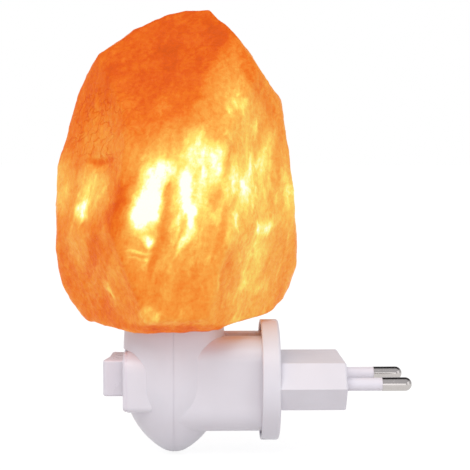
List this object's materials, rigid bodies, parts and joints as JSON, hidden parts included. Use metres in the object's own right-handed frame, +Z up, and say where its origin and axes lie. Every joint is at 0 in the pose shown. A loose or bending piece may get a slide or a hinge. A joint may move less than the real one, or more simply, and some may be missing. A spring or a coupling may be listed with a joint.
{
  "type": "plug-in salt crystal night light",
  "caption": "Night light that plugs into a wall outlet: a rough salt crystal glows on a white swivelling lampholder with a rocker switch.",
  "frame": {"origin": "middle of the plug's face that meets the outlet, between the pins", "axes": "+X into the wall along the pins, +Y from the live pin to the neutral pin, +Z up along the crystal"},
  "size_m": [0.1044, 0.058, 0.131],
  "materials": {
    "white_abs": "satin moulded white",
    "switch_white": "glossy moulded white",
    "pin_metal": "nickel plating",
    "sleeve_white": "soft white insulation",
    "salt": "rough split salt, translucent orange",
    "bulb_glass": "clear glass",
    "cap_brass": "plain brass",
    "cap_insulator": "black glass insulator",
    "holder_plastic": "heat-resistant moulding",
    "spring_steel": "drawn spring wire",
    "filament_wire": "glowing wire",
    "lead_insulation": "white insulation"
  },
  "bodies": {
    "plug": {"plug_housing": "white_abs", "live_pin": "pin_metal", "live_pin_sleeve": "sleeve_white", "neutral_pin": "pin_metal", "neutral_pin_sleeve": "sleeve_white", "live_lead_in_plug": "lead_insulation", "neutral_lead_in_plug": "lead_insulation"},
    "lamp": {"switch_side_shell": "white_abs", "plug_side_shell": "white_abs", "switch_frame": "switch_white", "common_terminal": "cap_brass", "switched_terminal": "cap_brass", "lampholder_body": "holder_plastic", "threaded_shell": "cap_brass", "centre_contact": "cap_brass", "side_contact": "cap_brass", "bulb_cap": "cap_brass", "bulb_insulator": "cap_insulator", "bulb_contact": "cap_brass", "bulb_glass": "bulb_glass", "bulb_stem": "bulb_glass", "bulb_filament": "filament_wire", "front_clip": "spring_steel", "back_clip": "spring_steel", "live_lead": "lead_insulation", "neutral_lead": "lead_insulation", "switch_lead": "lead_insulation"},
    "rocker": {"rocker": "switch_white", "switch_plunger": "holder_plastic"},
    "contact_blade": {"contact_blade": "cap_brass"},
    "crystal": {"salt_crystal": "salt"}
  },
  "joints": [
    {"name": "plug_swivel", "type": "hinge", "parent": "plug", "child": "lamp", "pos_m": [-0.0225, 0, 0], "axis": [1, 0, 0], "range_deg": [-90, 90]},
    {"name": "rocker_tilt", "type": "hinge", "parent": "lamp", "child": "rocker", "pos_m": [-0.0615, 0, 0.00175], "axis": [0, 0, 1], "range_deg": [0, 13]},
    {"name": "contact_rock", "type": "hinge", "parent": "lamp", "child": "contact_blade", "pos_m": [-0.054, 0, 0.00175], "axis": [0, 0, 1], "range_deg": [-10.4, 0]},
    {"name": "crystal_lift", "type": "slide", "parent": "lamp", "child": "crystal", "axis": [0, 0, 1], "range_m": [0, 0.06]}
  ],
  "couplings": [
    {"joint": "contact_rock", "follows": "rocker_tilt", "ratio": -0.8}
  ]
}
